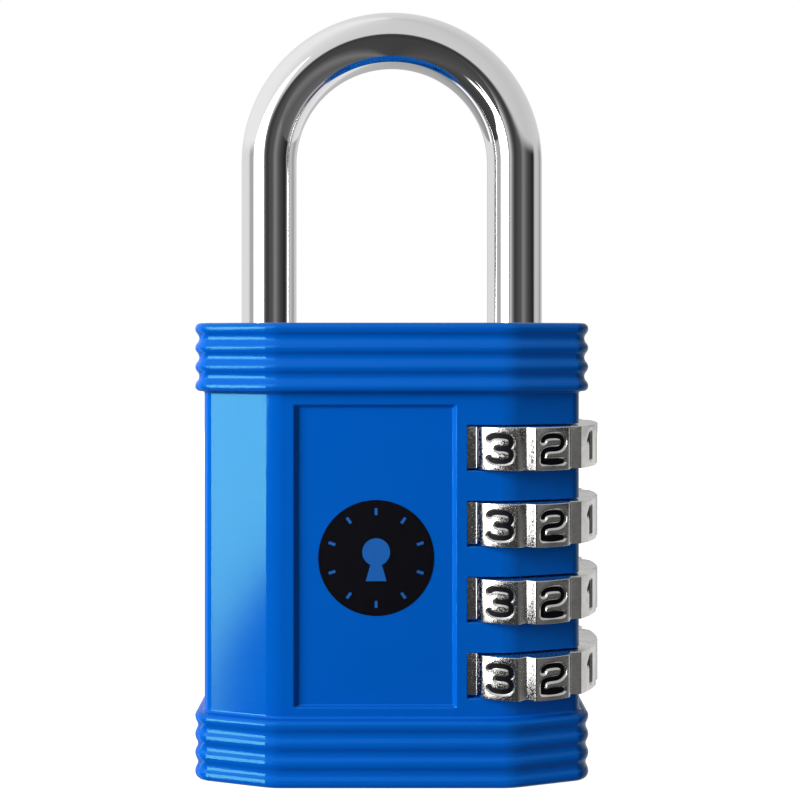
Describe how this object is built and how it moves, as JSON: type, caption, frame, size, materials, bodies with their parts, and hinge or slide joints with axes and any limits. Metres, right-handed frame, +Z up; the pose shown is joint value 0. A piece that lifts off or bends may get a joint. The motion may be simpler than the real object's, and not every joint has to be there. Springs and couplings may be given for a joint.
{
  "type": "combination padlock",
  "caption": "Resettable dial combination padlock with a ribbed octagonal painted body, chromed round shackle and coaxial side dials.",
  "frame": {"origin": "centre of the base face, midway across the width and the thickness of the body", "axes": "+Z up through the shackle, +X to the side that carries the dials, -Y to the front with the round badge"},
  "size_m": [0.0433, 0.018, 0.082],
  "materials": {
    "blue_paint": "glossy powder coat on a zinc die casting",
    "chrome_rod": "polished chrome plate on steel rod",
    "dial_metal": "chrome plated zinc, lightly worn on the rims",
    "black_ink": "black print and black paint filling",
    "plated_steel": "zinc plated sheet steel",
    "sleeve_brass": "turned brass",
    "spring_steel": "bright spring steel"
  },
  "bodies": {
    "body": {"body_casting": "blue_paint", "base_cover": "plated_steel", "base_rivets": "plated_steel", "retaining_pin": "spring_steel", "top_washer": "spring_steel", "sleeve_spring": "spring_steel", "detent_leaf_1": "spring_steel", "detent_leaf_2": "spring_steel", "detent_leaf_3": "spring_steel", "detent_leaf_4": "spring_steel"},
    "shackle": {"shackle": "chrome_rod"},
    "dial_1": {"dial_1": "dial_metal"},
    "dial_2": {"dial_2": "dial_metal"},
    "dial_3": {"dial_3": "dial_metal"},
    "dial_4": {"dial_4": "dial_metal"},
    "sleeve_1": {"sleeve_1": "sleeve_brass"},
    "sleeve_2": {"sleeve_2": "sleeve_brass"},
    "sleeve_3": {"sleeve_3": "sleeve_brass"},
    "sleeve_4": {"sleeve_4": "sleeve_brass"},
    "thrust_washer": {"thrust_washer": "spring_steel"}
  },
  "joints": [
    {"name": "shackle_lift", "type": "slide", "parent": "body", "child": "shackle", "axis": [0, 0, 1], "range_m": [0, 0.00784]},
    {"name": "dial_1_turn", "type": "hinge", "parent": "body", "child": "dial_1", "pos_m": [0.0135, 0, 0.03487], "axis": [0, 0, 1], "continuous": true, "deforming": ["detent_leaf_1"]},
    {"name": "dial_2_turn", "type": "hinge", "parent": "body", "child": "dial_2", "pos_m": [0.0135, 0, 0.02703], "axis": [0, 0, 1], "continuous": true, "deforming": ["detent_leaf_2"]},
    {"name": "dial_3_turn", "type": "hinge", "parent": "body", "child": "dial_3", "pos_m": [0.0135, 0, 0.01919], "axis": [0, 0, 1], "continuous": true, "deforming": ["detent_leaf_3"]},
    {"name": "dial_4_turn", "type": "hinge", "parent": "body", "child": "dial_4", "pos_m": [0.0135, 0, 0.01135], "axis": [0, 0, 1], "continuous": true, "deforming": ["detent_leaf_4"]},
    {"name": "sleeve_1_shift", "type": "slide", "parent": "dial_1", "child": "sleeve_1", "axis": [0, 0, 1], "range_m": [-0.0016, 0], "stiffness_N_per_m": 300, "springref_m": 0.002, "deforming": ["sleeve_spring"]},
    {"name": "sleeve_2_shift", "type": "slide", "parent": "dial_2", "child": "sleeve_2", "axis": [0, 0, 1], "range_m": [-0.0016, 0]},
    {"name": "sleeve_3_shift", "type": "slide", "parent": "dial_3", "child": "sleeve_3", "axis": [0, 0, 1], "range_m": [-0.0016, 0]},
    {"name": "sleeve_4_shift", "type": "slide", "parent": "dial_4", "child": "sleeve_4", "axis": [0, 0, 1], "range_m": [-0.0016, 0]},
    {"name": "washer_shift", "type": "slide", "parent": "body", "child": "thrust_washer", "axis": [0, 0, 1], "range_m": [-0.0016, 0], "deforming": ["sleeve_spring"]}
  ],
  "couplings": [
    {"joint": "sleeve_2_shift", "follows": "sleeve_1_shift", "ratio": 1},
    {"joint": "sleeve_3_shift", "follows": "sleeve_1_shift", "ratio": 1},
    {"joint": "sleeve_4_shift", "follows": "sleeve_1_shift", "ratio": 1},
    {"joint": "washer_shift", "follows": "sleeve_1_shift", "ratio": 1}
  ]
}
